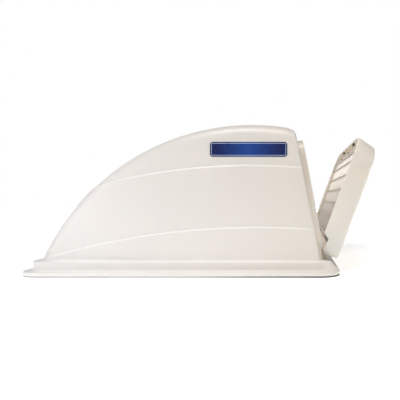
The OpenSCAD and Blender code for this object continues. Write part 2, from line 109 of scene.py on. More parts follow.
# The foot, from the side wall down: a fillet (steps out and shares of the drop), a ledge, the plinth's edge,
# a cove, a shelf and the lip. The plinth flares out towards the lip at its rear corners.
FILLET = ((0.35, 0.30), (0.9, 0.52))
FILLET_MOST = 0.3
LEDGE_END = 1.8
LEDGE_DROP = 1.5
LEDGE_FALL = 0.35
EDGE_LIFT = 0.2
PLINTH_EDGE_R = 1.4
COVE_Z = 9.0
COVE_R = 2.0
FLARE_FROM = 24.0
FLARE_RUN = 20.0
FLARE_REACH = 0.62
FLARE_FOOT = 0.1
SHELF_Z = 6.6
SHELF_AT = 0.55
SHELF_FLARE = 0.25
LIP_INNER_Z = 6.2
LIP_INNER = 3.4
LIP_INNER_FLARE = 1.2
LIP_Z = 6.0
LIP_R = 2.2
LIP_EDGE = ((0.25, 0.5), (0.7, 0.0))
LIP_EDGE_Z = 1.4

BOSS_X = [end * 150 + side * 14 for end in (-1, 1) for side in (-1, 1)]
BOSS_Y = (209.5, PLINTH_HALF - 1.0)
BOSS_Z = 10.0
BOSS_R = (6.0, 3.55)
TUBE_SIDES = 40

COLLAR_HALF = 191.0
COLLAR_LOW = 22.0
COLLAR_HIGH = 208.7
COLLAR_R = 27.0
OPENING_GAP = 0.3
OPENING_CENTRE = np.array([0.0, 100.0])

# A thin cheek under each foot of the collar, as n (out of the rear wall) and v (up along it)
CHEEK_Y = (189.2, 191.0)
CHEEK = [
    (-0.5, 21.7), (9.6, 21.7), (9.6, 20.0), (7.4, 18.0),
    (5.4, 14.0), (5.0, 10.0), (5.0, -11.0), (-0.5, -11.0),
]

# ---------- the door's dimensions, in millimetres
DOOR_HALF = 197.0
DOOR_LOW = 2.0
DOOR_HIGH = 219.5
DOOR_R = 40.5
DOOR_FOOT_R = 7.0
DOOR_DEEP_LOW = 38.8
DOOR_DEEP_HIGH = 37.5
DOOR_DEEP_UP = (20.0, 180.0)
DOOR_WALL = 2.4
DOOR_RIM = 0.5
DOOR_BACK_R = (4.5, 6.0)
DOOR_BACK_EDGE = 1.5

# The top narrows towards the back, is lifted a little, and falls away past the latches
DOOR_TAPER = 8.0
DOOR_TAPER_FROM = 7.0
DOOR_TOP_FROM = 140.0
DOOR_TOP_RUN = 70.0
DOOR_LIFT = 0.15
DOOR_CROWN = 5.0
CROWN_FROM = 97.0
CROWN_RUN = 100.0

# The rim is set back at the foot, with a deeper slot for each hinge ear: from y, to y and depth
SETBACK = 10.5
SETBACK_UP = (29.0, 37.0)
EAR_SLOT = (179.0, 189.8, 21.5)

# The slots the latches slide in: from y, to y, from n and to n
LATCH_SLOT = (77.8, 93.2, 2.8, 6.2)

# How far from the rim the skirt has rows of points. The latches' slots follow row 2.
SKIRT_ROWS = (0, 0.9, LATCH_SLOT[2] - DOOR_RIM, LATCH_SLOT[3] - DOOR_RIM, 8.5, 11.5, 20)
LATCH_ROW = 2

# Louvres, in three bays: the slots, and the blades' half length, back edges and front edges
LOUVRES = 7
LOUVRE_LOW = 52.0
LOUVRE_PITCH = 21.4
SLOT_H = 10.0
SLOT_R = 1.6
BLADE_HALF = 178.4
BLADE_IN = 0.3
BLADE_FRONT = 29.4
BLADE_BACK_UP = (-6.0, -3.6)
BLADE_FRONT_UP = (6.6, 4.2)
MULLION = 5.0

# The seat for the screen's frame: half width, half height, middle and corner radius, then its ledge and wall
SEAT = (180.0, 86.5, 116.5, 9.0)
SEAT_W = 8.0
SEAT_N = 7.2
SEAT_WALL = 2.5
SEAT_DEEP = 36.2
SEAT_SHORT = 2.7
SEAT_SHORT_FROM = 188
SEAT_SHORT_RUN = 10
SEAT_SINK = 1
MULLION_SHORT = 2
BAY = (2 * (SEAT[0] - SEAT_W) - 2 * MULLION) / 3

# The screen's frame, with its cross bars as n and half height, and the posts that take its screws
RIM_N = (4.2, 6.38)
RIM_GAP = 0.1
RIM_EDGES = (0.9, 0.8)
BAR = [(4.2, 0.6), (4.9, 1.1), (6.38, 1.1)]
BAR_UP = [67.0 + 27.5 * i for i in range(5)]
SCREW_SPOTS = [(sy * y, up) for sy in (-1, 1) for y, up in ((176, 60), (176, 173), (60, 34), (60, 199))]
POST_R = (3.2, 1.45)
POST_END = 8

# The screen: two layers of straight strands
STRAND_R = 0.15
STRAND_GAP = 1.9
STRAND_N = (6.7, 6.9)
SCREEN_IN = 1.5
SCREEN_CORNER = 6.0

door_joint = next(j for j in frame["joints"] if j["name"] == "door_hinge")
HINGE = (14.8, 10.0)
KNUCKLE_Y = (190.0, 195.5)
KNUCKLE_R = (6.0, 2.55)
DOOR_SWING = -math.radians(door_joint["range_deg"][0])


# ---------- mesh helpers
def loose_object(name, data):
    """Links a new object to the scene: a mesh, a lamp or a camera."""
    piece = bpy.data.objects.new(name, data)
    bpy.context.scene.collection.objects.link(piece)
    return piece


def new_piece(name, mesh, body, node, material):
    """Links a mesh as a piece that rides on a body, stands for a CAD node and has one material."""
    piece = loose_object(name, mesh)
    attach(piece, body)
    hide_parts(node)
    piece.data.materials.append(material)
    return piece


def join(name, pieces):
    """Makes one mesh of several objects and removes them."""
    edit = bmesh.new()
    for piece in pieces:
        edit.from_mesh(piece.data)
        bpy.data.objects.remove(piece)
    made = bpy.data.meshes.new(name)
    edit.to_mesh(made)
    edit.free()
    return made


class Skin:
    """Collects grids of points, in millimetres, and welds them into one mesh."""

    weld = 0.02

    def __init__(self):
        self.points = []
        self.faces = []

    def start(self):
        """The number of the next point."""
        return sum(len(points) for points in self.points)

    def grid(self, rows, closed=False, flip=False):
        """Adds rows of points with a face between each four, round to the first column if closed."""
        rows = np.asarray(rows, float)
        count, width = rows.shape[:2]
        start = self.start()
        self.points.append(rows.reshape(-1, 3))
        last = width if closed else width - 1
        for i in range(count - 1):
            for k in range(last):
                a = start + i * width + k
                b = start + i * width + (k + 1) % width
                quad = (a, b, b + width, a + width)
                self.faces.append(quad[::-1] if flip else quad)

    def mesh(self, name):
        """Makes the mesh, with points welded, loose ones removed and all faces turned outwards."""
        made = bpy.data.meshes.new(name)
        made.from_pydata((np.vstack(self.points) * MM).tolist(), [], self.faces)
        edit = bmesh.new()
        edit.from_mesh(made)
        bmesh.ops.remove_doubles(edit, verts=edit.verts, dist=self.weld * MM)
        bmesh.ops.dissolve_degenerate(edit, edges=edit.edges, dist=self.weld * MM / 2)
        loose = [v for v in edit.verts if not v.link_faces]
        bmesh.ops.delete(edit, geom=loose, context="VERTS")
        bmesh.ops.recalc_face_normals(edit, faces=edit.faces)
        edit.to_mesh(made)
        edit.free()
        return made


def smooth(piece, sharp_above):
    """Smooth shading that keeps corners above an angle sharp."""
    piece.data.shade_smooth()
    piece.data.set_sharp_from_angle(angle=math.radians(sharp_above))


def modify(piece, kind, **values):
    """Adds a modifier."""
    made = piece.modifiers.new(kind.lower(), kind)
    for key, value in values.items():
        setattr(made, key, value)


def soften(piece, width, sharp_above):
    """Bevels the edges that are sharper than an angle."""
    limit = math.radians(sharp_above)
    modify(piece, "BEVEL", width=width * MM, segments=2, limit_method="ANGLE", angle_limit=limit)


def apply_modifiers(piece):
    """Bakes a piece's modifiers into its mesh."""
    evaluated = piece.evaluated_get(bpy.context.evaluated_depsgraph_get())
    baked = bpy.data.meshes.new_from_object(evaluated)
    piece.modifiers.clear()
    piece.data = baked


def smoothstep(t):
    """Rises smoothly from 0 to 1 as t does."""
    t = np.clip(t, 0.0, 1.0)
    return t * t * (3 - 2 * t)


def quarter_turn(degrees):
    """How far back and how far down a rounded edge of radius 1 is at each angle."""
    return [(1 - math.sin(a), 1 - math.cos(a)) for a in np.radians(degrees)]


def last_inside(is_inside, low, high, halvings=40):
    """The furthest distance that is still inside a shape, for one or more rays, by halving."""
    for _ in range(halvings):
        mid = (low + high) / 2
        inside = is_inside(mid)
        low = np.where(inside, mid, low)
        high = np.where(inside, high, mid)
    return low


# ---------- the hood's shape
def crease_z(x, crease):
    """How high a crease runs at x."""
    cx, top, radius = crease
    return top - radius + np.sqrt(radius**2 - (x - cx) ** 2)


def band_share(x, z):
    """2 below the lower crease, 1 between the creases and 0 above the upper one."""
    share = 2.0
    for crease in CREASES:
        share = share - smoothstep((z - crease_z(x, crease)) / LEDGE_H + 0.5)
    return share


def crease_bead(x, z):
    """How far the fine bead that runs along each crease stands out."""
    beads = [np.exp(-(((z - crease_z(x, crease) + BEAD_BELOW) / BEAD_H) ** 2)) for crease in CREASES]
    return BEAD * sum(beads)


SIDE_0 = FOOT_HALF + math.tan(DRAFT) * (FOOT_Z - AXIS_Z) - 2 * SIDE_STEP
EDGE_CENTRE_R = ROOF_R - EDGE_R
TOUCH_R = EDGE_CENTRE_R + EDGE_R * math.sin(DRAFT)
EDGE_CENTRE_Y = SIDE_0 - math.tan(DRAFT) * TOUCH_R - EDGE_R * math.cos(DRAFT)
AXIS = np.array([ROOF_X, AXIS_Z])


def rear_point(up):
    """A point on the rear wall, in x and z, at a distance up along it."""
    return np.array([REAR_X - up * math.sin(REAR_LEAN), FOOT_Z + up * math.cos(REAR_LEAN)])


def rear_top():
    """How far up the rear wall the roof is."""
    return float(last_inside(lambda up: np.linalg.norm(rear_point(up) - AXIS) < ROOF_R, 0.0, 300.0, 50))


FRONT_FOOT_X = ROOF_X - math.sqrt(ROOF_R**2 - (FOOT_Z - AXIS_Z) ** 2)


def roof_angle(point):
    """The angle of a point in x and z round the roof's axis, from straight up."""
    return math.atan2(point[0] - AXIS[0], point[1] - AXIS[1])


FRONT_ANGLE = roof_angle((FRONT_FOOT_X, FOOT_Z))
REAR_ANGLE = roof_angle(rear_point(rear_top()))


def line_ends(s):
    """Foot and roof ends, in x and z, of the hood's side line at share s from front to rear."""
    foot = np.array([FRONT_FOOT_X + (REAR_X - FRONT_FOOT_X) * s, FOOT_Z])
    angle = FRONT_ANGLE + (REAR_ANGLE - FRONT_ANGLE) * s
    roof = AXIS + ROOF_R * np.array([math.sin(angle), math.cos(angle)])
    return foot, roof


def side_section(s):
    """Points x, y, z and edge angle along one side line, from the foot to the start of the roof."""
    foot, roof = line_ends(s)
    foot_r = min(np.linalg.norm(foot - AXIS), ROOF_R)
    first_angle = DRAFT
    if foot_r > TOUCH_R:
        first_angle = math.asin(min(1.0, (foot_r - EDGE_CENTRE_R) / EDGE_R))
    flat_r = np.linspace(foot_r, max(foot_r, TOUCH_R), DENSE)
    angles = np.linspace(first_angle, math.pi / 2, DENSE)
    edge_r = EDGE_CENTRE_R + EDGE_R * np.sin(angles)
    r = np.concatenate([flat_r, edge_r])
    angle = np.concatenate([np.full(DENSE, first_angle), angles])
    flat_y = SIDE_0 - math.tan(DRAFT) * flat_r
    if foot_r > TOUCH_R:
        flat_y = np.minimum(flat_y, EDGE_CENTRE_Y + EDGE_R * math.cos(first_angle))
    y = np.concatenate([flat_y, EDGE_CENTRE_Y + EDGE_R * np.cos(angles)])
    step = roof - foot
    a = step @ step
    if a < 1e-9:
        share = np.zeros_like(r)
    else:
        b = step @ (foot - AXIS)
        share = (-b + np.sqrt(np.maximum(b * b + a * (r**2 - foot_r**2), 0))) / a
    points = foot[None, :] + share[:, None] * step[None, :]
    return points[:, 0], y, points[:, 1], angle


def band_samples(start, end):
    """Distances along a section within one band, close together at its creases."""
    length = max(end - start, 0.0)
    edge = EDGE_STEPS * min(1.0, length / (2.5 * EDGE_STEPS[-1]))
    inner = np.linspace(start + edge[-1], end - edge[-1], BAND_FILL + 2)[1:-1]
    return np.concatenate([start + edge, inner, end - edge[::-1]])


def section_row(s):
    """One row of the hood's skin on the left side: each point and its outward normal."""
    x, y, z, angle = side_section(s)
    run = np.concatenate([[0], np.cumsum(np.sqrt(np.diff(x) ** 2 + np.diff(y) ** 2 + np.diff(z) ** 2))])
    cuts = [0.0]
    for crease in CREASES:
        above = z - crease_z(x, crease)
        if above[0] >= 0:
            cuts.append(cuts[-1])
        elif above[-1] <= 0:
            cuts.append(run[-1])
        else:
            k = int(np.argmax(above > 0))
            t = above[k - 1] / (above[k - 1] - above[k])
            cuts.append(run[k - 1] + t * (run[k] - run[k - 1]))
    cuts.append(run[-1])
    wanted = np.concatenate([band_samples(cuts[i], cuts[i + 1]) for i in range(3)])
    x, y, z, angle = (np.interp(wanted, run, values) for values in (x, y, z, angle))
    roof_y = np.linspace(y[-1], 0, ROOF_FILL + 1)[1:]
    roof_x = np.full(ROOF_FILL, x[-1])
    roof_z = np.full(ROOF_FILL, z[-1])
    lift = np.concatenate([np.zeros(len(x)), CROWN * (1 - (roof_y / y[-1]) ** 2)])
    x, y, z = np.append(x, roof_x), np.append(y, roof_y), np.append(z, roof_z)
    angle = np.append(angle, np.full(ROOF_FILL, math.pi / 2))
    share = band_share(x, z)
    radial = np.stack([x - AXIS[0], z - AXIS[1]], 1)
    radial /= np.linalg.norm(radial, axis=1)[:, None]
    normal = np.stack([np.sin(angle) * radial[:, 0], np.cos(angle), np.sin(angle) * radial[:, 1]], 1)
    side_out = (SIDE_STEP * share + crease_bead(x, z)) * np.cos(angle)
    roof_out = ROOF_STEP * share * np.sin(angle) + lift
    points = np.stack([x + roof_out * radial[:, 0], y + side_out, z + roof_out * radial[:, 1]], 1)
    return points, normal


def row_shares():
    """Shares from front to rear at which the hood has a row, closer where it turns."""
    length = REAR_X - FRONT_FOOT_X
    shares = list(np.linspace(0, 1, ROWS))
    slope = math.sin(-FRONT_ANGLE)
    for angle in np.radians(np.arange(6, 91, 6)):
        shares.append(EDGE_R * (1 - math.sin(angle)) / slope / length)
    tops = [line_ends(s)[1] for s in ROW_SEARCH]
    for crease in CREASES:
        above = [p[1] - crease_z(p[0], crease) for p in tops]
        k = int(np.argmax(np.array(above) > 0))
        for step in CREASE_ROWS:
            shares.append(ROW_SEARCH[k] + step * CREASE_ROW_GAP / length)
    shares = np.unique(np.round(np.clip(shares, 0, 1), 6))
    return shares[shares < 1 - 1.3 * REAR_ROUND / length]


def hood_half():
    """Rows of the hood's left half, the last of them rounded over into the rear wall."""
    rows = [section_row(s) for s in row_shares()]
    last, normal = section_row(1.0)
    forward = np.array([-math.cos(REAR_LEAN), 0, -math.sin(REAR_LEAN)])
    for back, inset in quarter_turn(np.linspace(0, 90, 9)):
        rows.append((last + forward * REAR_ROUND * back - normal * REAR_ROUND * inset, normal))
    return np.array([points for points, _ in rows])


def sill_share(y):
    """1 on the low sill behind the hood, 0 out at its sides."""
    return 1 - smoothstep((np.abs(y) - SILL_END) / SILL_RISE)


def round_box(point, box):
    """Signed distance from a plan point to a rectangle with round corners."""
    cx, half_x, half_y, radius = box
    q = np.abs(point - np.array([cx, 0])) - np.array([half_x - radius, half_y - radius])
    outside = np.linalg.norm(np.maximum(q, 0), axis=-1)
    return outside + np.minimum(np.max(q, axis=-1), 0) - radius


def cast_out(points, normals, box):
    """Where rays from plan points along their normals leave a rounded rectangle."""
    none, most = np.zeros(len(points)), np.full(len(points), 80.0)
    reach = last_inside(lambda far: round_box(points + normals * far[:, None], box) < 0, none, most)
    return points + normals * reach[:, None]


def loop_normals(loop):
    """Normals of a closed plan outline, evened out between neighbours."""
    step = np.roll(loop, -1, axis=0) - np.roll(loop, 1, axis=0)
    normals = np.stack([step[:, 1], -step[:, 0]], 1)
    normals /= np.maximum(np.linalg.norm(normals, axis=1), 1e-9)[:, None]
    for _ in range(2):
        normals = normals + np.roll(normals, 1, axis=0) + np.roll(normals, -1, axis=0)
        normals /= np.linalg.norm(normals, axis=1)[:, None]
    return normals


def box_normals(points, box):
    """Outward normals of a rounded rectangle at points near its edge."""
    small = 0.01
    gx = round_box(points + [small, 0], box) - round_box(points - [small, 0], box)
    gy = round_box(points + [0, small], box) - round_box(points - [0, small], box)
    normals = np.stack([gx, gy], 1)
    return normals / np.linalg.norm(normals, axis=1)[:, None]


PLINTH = ((PLINTH_X0 + PLINTH_X1) / 2, (PLINTH_X1 - PLINTH_X0) / 2, PLINTH_HALF, PLINTH_R)
FLANGE = (FLANGE_X, FLANGE_L / 2, FLANGE_W / 2, FLANGE_R)


def arch_inside(y, up, half, low, high, radius):
    """Signed distance to the collar's outline: square below, round corners above."""
    qy = np.abs(y) - (half - radius)
    qu = up - (high - radius)
    corner = np.hypot(np.maximum(qy, 0), np.maximum(qu, 0)) + np.minimum(np.maximum(qy, qu), 0) - radius
    return np.maximum(corner, low - up)


def sill_edge():
    """The rear wall's lower edge, which dips to the sill between its two sides."""
    y = np.concatenate([-SILL_RAMP[::-1], SILL_MIDDLE, SILL_RAMP])
    z = FOOT_Z + (SILL_TOP + SILL_LIP - FOOT_Z) * sill_share(y)
    x = REAR_X - (z - FOOT_Z) * math.tan(REAR_LEAN)
    return np.stack([x, y, z], 1)


def rear_wall_rings(edge):
    """Rings on the rear wall, from its outer edge to the opening the collar sits in."""
    flat = np.stack([edge[:, 1], (edge[:, 2] - FOOT_Z) / math.cos(REAR_LEAN)], 1)
    ray = flat - OPENING_CENTRE
    outline = (COLLAR_HALF + OPENING_GAP, COLLAR_LOW - OPENING_GAP, COLLAR_HIGH + OPENING_GAP, COLLAR_R)

    def in_opening(share):
        at = OPENING_CENTRE + ray * share[:, None]
        return arch_inside(at[:, 0], at[:, 1], *outline) < 0

    hole = OPENING_CENTRE + ray * last_inside(in_opening, np.zeros(len(flat)), np.ones(len(flat)))[:, None]
    rings = [edge]
    for share in WALL_SHARES:
        y, up = (flat + (hole - flat) * share).T
        rings.append(from_wall(np.stack([0 * y, y, up], 1)))
    return rings


def foot_rings(foot):
    """Rings round the hood, from its foot by way of the ledge, plinth and shelf to the flange's lip."""
    plan = foot[:, :2]
    out = -loop_normals(np.minimum(plan, [REAR_X, FLANGE_W]))
    if round_box((plan + out)[:1], PLINTH)[0] < round_box(plan[:1], PLINTH)[0]:
        out = -out
    sill = np.where(plan[:, 0] > REAR_X - SILL_DEEP, sill_share(plan[:, 1]), 0.0)
    on_plinth = cast_out(plan, out, PLINTH)
    plinth_out = box_normals(on_plinth, PLINTH)
    on_flange = cast_out(on_plinth, plinth_out, FLANGE)
    flange_out = box_normals(on_flange, FLANGE)
    top = PLINTH_TOP + (SILL_TOP - PLINTH_TOP) * sill
    flare = smoothstep((on_plinth[:, 0] - PLINTH_X1 + FLARE_FROM) / FLARE_RUN)[:, None]
    ledge = on_plinth - plan
    wide = np.linalg.norm(ledge, axis=1)[:, None]
    unit = ledge / np.maximum(wide, 1e-6)
    drop = foot[:, 2] - top
    shelf = on_flange - on_plinth
    rings = [foot]

    def ring(xy, z):
        rings.append(np.concatenate([xy, np.broadcast_to(z, len(xy))[:, None]], axis=1))

    for out_by, down in FILLET:
        ring(plan + unit * np.minimum(out_by, wide * FILLET_MOST), foot[:, 2] - drop * down)
    ring(on_plinth - plinth_out * LEDGE_END, top + LEDGE_FALL * np.minimum(drop, LEDGE_DROP))
    for back, down in quarter_turn((20, 45, 70, 90)):
        ring(on_plinth - plinth_out * PLINTH_EDGE_R * back, top + EDGE_LIFT - PLINTH_EDGE_R * down)
    ring(on_plinth + shelf * flare * FLARE_REACH, COVE_Z + EDGE_LIFT)
    for up, out_by in quarter_turn((30, 60, 90)):
        wall = on_plinth + shelf * flare * (FLARE_REACH + FLARE_FOOT * (1 - up))
        ring(wall + plinth_out * COVE_R * out_by * (1 - flare), COVE_Z - COVE_R * (1 - up))
    ring(on_plinth + shelf * (SHELF_AT + SHELF_FLARE * flare), SHELF_Z)
    ring(on_flange - flange_out * (LIP_INNER - LIP_INNER_FLARE * flare), LIP_INNER_Z)
    for back, down in quarter_turn((30, 60, 90)):
        ring(on_flange - flange_out * LIP_R * back, LIP_Z - LIP_R * down)
    ring(on_flange, LIP_EDGE_Z)
    for back, z in LIP_EDGE:
        ring(on_flange - flange_out * back, z)
    return rings


def hood_skin():
    """The hood's whole outer skin: roof and sides, rear wall round the opening, and foot."""
    skin = Skin()
    left = hood_half()
    right = left[:, ::-1] * [1, -1, 1]
    both = np.concatenate([left, right[:, 1:]], axis=1)
    skin.grid(both)
    low_edge = sill_edge()
    skin.grid(rear_wall_rings(np.concatenate([both[-1], low_edge])), closed=True, flip=True)
    foot = np.concatenate([both[::-1, 0], both[0, 1:-1], both[:, -1], low_edge])
    foot = foot[np.linalg.norm(foot - np.roll(foot, 1, axis=0), axis=1) > TOO_CLOSE]
    skin.grid(foot_rings(foot), closed=True)
    return skin


# ---------- the door's shape
def from_wall(points):
    """Turns points n (out of the rear wall), y and v (up along it) into x, y, z."""
    n, y, v = np.asarray(points, float).T
    lean_c, lean_s = math.cos(REAR_LEAN), math.sin(REAR_LEAN)
    return np.stack([REAR_X + n * lean_c - v * lean_s, y, FOOT_Z + n * lean_s + v * lean_c], 1)


def from_door(points):
    """As from_wall, for points on the closed door, swung open to where the door rests."""
    n, y, v = np.asarray(points, float).T
    c, s = math.cos(DOOR_SWING), math.sin(DOOR_SWING)
    dn, dv = n - HINGE[0], v - HINGE[1]
    return from_wall(np.stack([HINGE[0] + dn * c + dv * s, y, HINGE[1] - dn * s + dv * c], 1))


def rounded_loop(half_y, half_v, mid_v, radius, per_corner=8, side_steps=12):
    """Points and outward normals round a rectangle with round corners, in y and v."""
    points, normals = [], []
    corners = ((1, 1, 0), (-1, 1, 90), (-1, -1, 180), (1, -1, 270))
    for sy, sv, start in corners:
        centre = np.array([sy * (half_y - radius), mid_v + sv * (half_v - radius)])
        for a in np.radians(np.linspace(start, start + 90, per_corner + 1)):
            normal = np.array([math.cos(a), math.sin(a)])
            points.append(centre + radius * normal)
            normals.append(normal)
        following = corners[(corners.index((sy, sv, start)) + 1) % 4]
        ahead = np.array([following[0] * (half_y - radius), mid_v + following[1] * (half_v - radius)])
        ahead = ahead + radius * normal
        for share in np.linspace(0, 1, side_steps + 1)[1:-1]:
            points.append((centre + radius * normal) * (1 - share) + ahead * share)
            normals.append(normal)
    return np.array(points), np.array(normals)


def corner_arc(y, v, radius, angles):
    """Points and normals round a corner of the door's right half."""
    points = []
    for a in np.radians(angles):
        points.append((y + radius * math.cos(a), v + radius * math.sin(a), math.cos(a), math.sin(a)))
    return points


def door_loop():
    """Outline of the door in y and v, with outward normals, once round from the middle of its foot."""
    low_y = [0, 30, 60, 90, 120, 150, 170, 178.9, 179.1, 182, 187, 189.6]
    side_v = [10, 14, 21, 28.9, 29.1, 33, 36.7, 37.1, 41, *np.linspace(50, DOOR_HIGH - DOOR_R - 6, 12)]
    top_y = [145, 130, 115, 100, LATCH_SLOT[1], LATCH_SLOT[0], 65, 50, 35, 18, 0]
    half = [(y, DOOR_LOW, 0, -1) for y in low_y]
    half += corner_arc(DOOR_HALF - DOOR_FOOT_R, DOOR_LOW + DOOR_FOOT_R, DOOR_FOOT_R, np.linspace(-90, 0, 5))
    half += [(DOOR_HALF, v, 1, 0) for v in side_v]
    half += corner_arc(DOOR_HALF - DOOR_R, DOOR_HIGH - DOOR_R, DOOR_R, np.linspace(0, 90, 15))
    half += [(y, DOOR_HIGH, 0, 1) for y in top_y]
    half = np.array(half)
    other = half[1:-1][::-1] * [-1, 1, -1, 1]
    loop = np.concatenate([half, other])
    points, normals = loop[:, :2].copy(), loop[:, 2:]
    near_top = smoothstep((points[:, 1] - DOOR_TOP_FROM) / DOOR_TOP_RUN)
    past_latch = np.maximum(np.abs(points[:, 0]) - CROWN_FROM, 0) / CROWN_RUN
    points[:, 1] += near_top * (DOOR_LIFT - DOOR_CROWN * past_latch**2)
    return points, normals


def door_depth(v):
    """How far out of the wall the door's back is."""
    start, run = DOOR_DEEP_UP
    return DOOR_DEEP_LOW + (DOOR_DEEP_HIGH - DOOR_DEEP_LOW) * np.clip((v - start) / run, 0, 1)


def rim_depth(point, normal):
    """How far out of the wall the door's rim starts at one point of its outline."""
    y, v = point
    if normal[1] < -0.5:
        in_slot = EAR_SLOT[0] < abs(y) < EAR_SLOT[1]
        return EAR_SLOT[2] if in_slot else SETBACK
    if v < SETBACK_UP[0]:
        return SETBACK
    if v < SETBACK_UP[1]:
        return max(DOOR_RIM, SETBACK * (SETBACK_UP[1] - v) / (SETBACK_UP[1] - SETBACK_UP[0]))
    return DOOR_RIM


def louvre_slots():
    """Outlines of the slots in the door's back, in y and v."""
    slots = []
    for i in range(LOUVRES):
        for bay in (-1, 0, 1):
            points, _ = rounded_loop(BAY / 2, SLOT_H / 2, LOUVRE_LOW + i * LOUVRE_PITCH, SLOT_R, 3, 8)
            slots.append(points + [bay * (BAY + MULLION), 0])
    return slots


def inside_loop(point, loop):
    """Whether a point in y and v is inside a closed outline."""
    y, v = point
    a, b = loop, np.roll(loop, -1, axis=0)
    crosses = (a[:, 1] > v) != (b[:, 1] > v)
    with np.errstate(divide="ignore", invalid="ignore"):
        at = a[:, 0] + (v - a[:, 1]) * (b[:, 0] - a[:, 0]) / (b[:, 1] - a[:, 1])
    return int(np.sum(crosses & (y < at))) % 2 == 1


def tray_rows(loop, normals):
    """Rows round the door from its rim down the skirt and over the rounded edge, and the back's outline."""
    depth = door_depth(loop[:, 1])
    low_r, high_r = DOOR_BACK_R
    up = smoothstep(normals[:, 1])
    radius = low_r + (high_r - low_r) * up
    rim = np.array([rim_depth(p, n) for p, n in zip(loop, normals)])
    span = depth - radius - rim
    full = DOOR_DEEP_HIGH - high_r - DOOR_RIM

    def row(n, extra):
        inset = extra + DOOR_TAPER * up * np.clip((n - DOOR_TAPER_FROM) / (depth - DOOR_TAPER_FROM), 0, 1)
        return np.column_stack([n, loop - normals * inset[:, None]])

    rows = []
    for at in (*SKIRT_ROWS, full):
        rows.append(row(rim + span * at / full, 0))
    for back, inset in quarter_turn(np.linspace(0, 90, 8))[1:]:
        rows.append(row(depth - radius * back, radius * inset))
    edge = loop - normals * (radius + DOOR_TAPER * up + DOOR_BACK_EDGE)[:, None]
    rows.append(np.column_stack([door_depth(edge[:, 1]), edge]))
    return np.array(rows), edge


def is_latch_slot(k, loop):
    """Whether face k of the skirt is where a latch slides."""
    width = len(loop)
    here, following = loop[k % width], loop[(k + 1) % width]
    in_slot = LATCH_SLOT[0] < abs((here + following)[0] / 2) < LATCH_SLOT[1]
    return k // width == LATCH_ROW and here[1] > DOOR_HIGH - 10 and in_slot


def door_tray():
    """The door's outer skin: skirt, rounded edges and the back with its louvre slots."""
    skin = Skin()
    loop, normals = door_loop()
    rows, edge = tray_rows(loop, normals)
    skin.grid([from_door(row) for row in rows], closed=True)
    skin.faces = [face for k, face in enumerate(skin.faces) if not is_latch_slot(k, loop)]
    slots = louvre_slots()
    verts, edges = [], []
    for outline in [edge, *slots]:
        first, count = len(verts), len(outline)
        verts += [Vector(p) for p in outline]
        edges += [(first + k, first + (k + 1) % count) for k in range(count)]
    flat, _, tris, _, _, _ = delaunay_2d_cdt(verts, edges, [], 0, 1e-5)
    flat = np.array([tuple(p) for p in flat])
    start = skin.start()
    skin.points.append(from_door(np.column_stack([door_depth(flat[:, 1]), flat])))
    for tri in tris:
        middle = flat[list(tri)].mean(axis=0)
        if inside_loop(middle, edge) and not any(inside_loop(middle, slot) for slot in slots):
            skin.faces.append(tuple(start + k for k in tri))
    return skin


def add_prism(solid, place, outline, y0, y1):
    """Adds an outline in n and v, drawn across from y0 to y1."""
    count = len(outline)
    points = [(n, y0, v) for n, v in outline] + [(n, y1, v) for n, v in outline]
    faces = [tuple(range(count))[::-1], tuple(range(count, 2 * count))]
    faces += [(k, (k + 1) % count, count + (k + 1) % count, count + k) for k in range(count)]
    solid.add(place(points), faces)


def add_rings(solid, points, count, width):
    """Adds a closed solid from rings of points, the last of which joins the first."""
    faces = []
    for i in range(count):
        for k in range(width):
            m = (k + 1) % width
            j = (i + 1) % count
            faces.append((i * width + k, i * width + m, j * width + m, j * width + k))
    solid.add(points, faces)


def add_tube(solid, place, centre, axis, start, end, radii):
    """Adds a tube along n or y, from its outer and inner radii."""
    angles = np.linspace(0, 2 * math.pi, TUBE_SIDES, endpoint=False)
    outer, inner = radii
    rings = []
    for radius, along in ((outer, start), (outer, end), (inner, end), (inner, start)):
        a = centre[0] + radius * np.cos(angles)
        b = centre[1] + radius * np.sin(angles)
        c = np.full(TUBE_SIDES, along)
        rings.append(np.stack([c, a, b] if axis == "n" else [a, c, b], 1))
    add_rings(solid, place(np.concatenate(rings)), len(rings), TUBE_SIDES)


def add_swept(solid, place, loop, normals, profile):
    """Adds a closed profile, pairs of inset and n, swept round a loop in y and v."""
    rings = []
    for inset, n in profile:
        rings.append(np.column_stack([np.broadcast_to(n, len(loop)), loop - normals * inset]))
    add_rings(solid, place(np.concatenate(rings)), len(rings), len(loop))


class Solid:
    """Collects closed parts, each with its own points, and turns their faces outwards."""

    def __init__(self):
        self.edit = bmesh.new()

    def add(self, points, faces):
        """Adds one closed part, from points in millimetres."""
        made = [self.edit.verts.new(Vector(p) * MM) for p in points]
        drawn = [self.edit.faces.new([made[k] for k in face]) for face in faces]
        bmesh.ops.recalc_face_normals(self.edit, faces=drawn)

    def mesh(self, name):
        """Makes the mesh of all the parts."""
        made = bpy.data.meshes.new(name)
        self.edit.to_mesh(made)
        self.edit.free()
        return made


# ---------- materials
CLOUD = (0.3, 0.7)
GRAIN = 900.0
GRAIN_BUMP = 0.04
GRAIN_DEEP = 0.4

# Painted highlight on the hood's creases, which are whitened: over what x, from how much to how much, how
# wide, and to what tint
CREASE_HIGHLIGHT_X = (-150, 120)
CREASE_HIGHLIGHT = (0.75, 0.25)
CREASE_HIGHLIGHT_WIDTH = (1.0, 2.2)
CREASE_HIGHLIGHT_BELOW = 0.4
CREASE_HIGHLIGHT_TINT = (1.0, 0.985, 0.96)

# The label's fine line: how far in it is and how wide. Then how long the label's dark ends are.
LINE_IN = 2.6
LINE_WIDTH = (0.3, 0.5)
DARK_END = 12


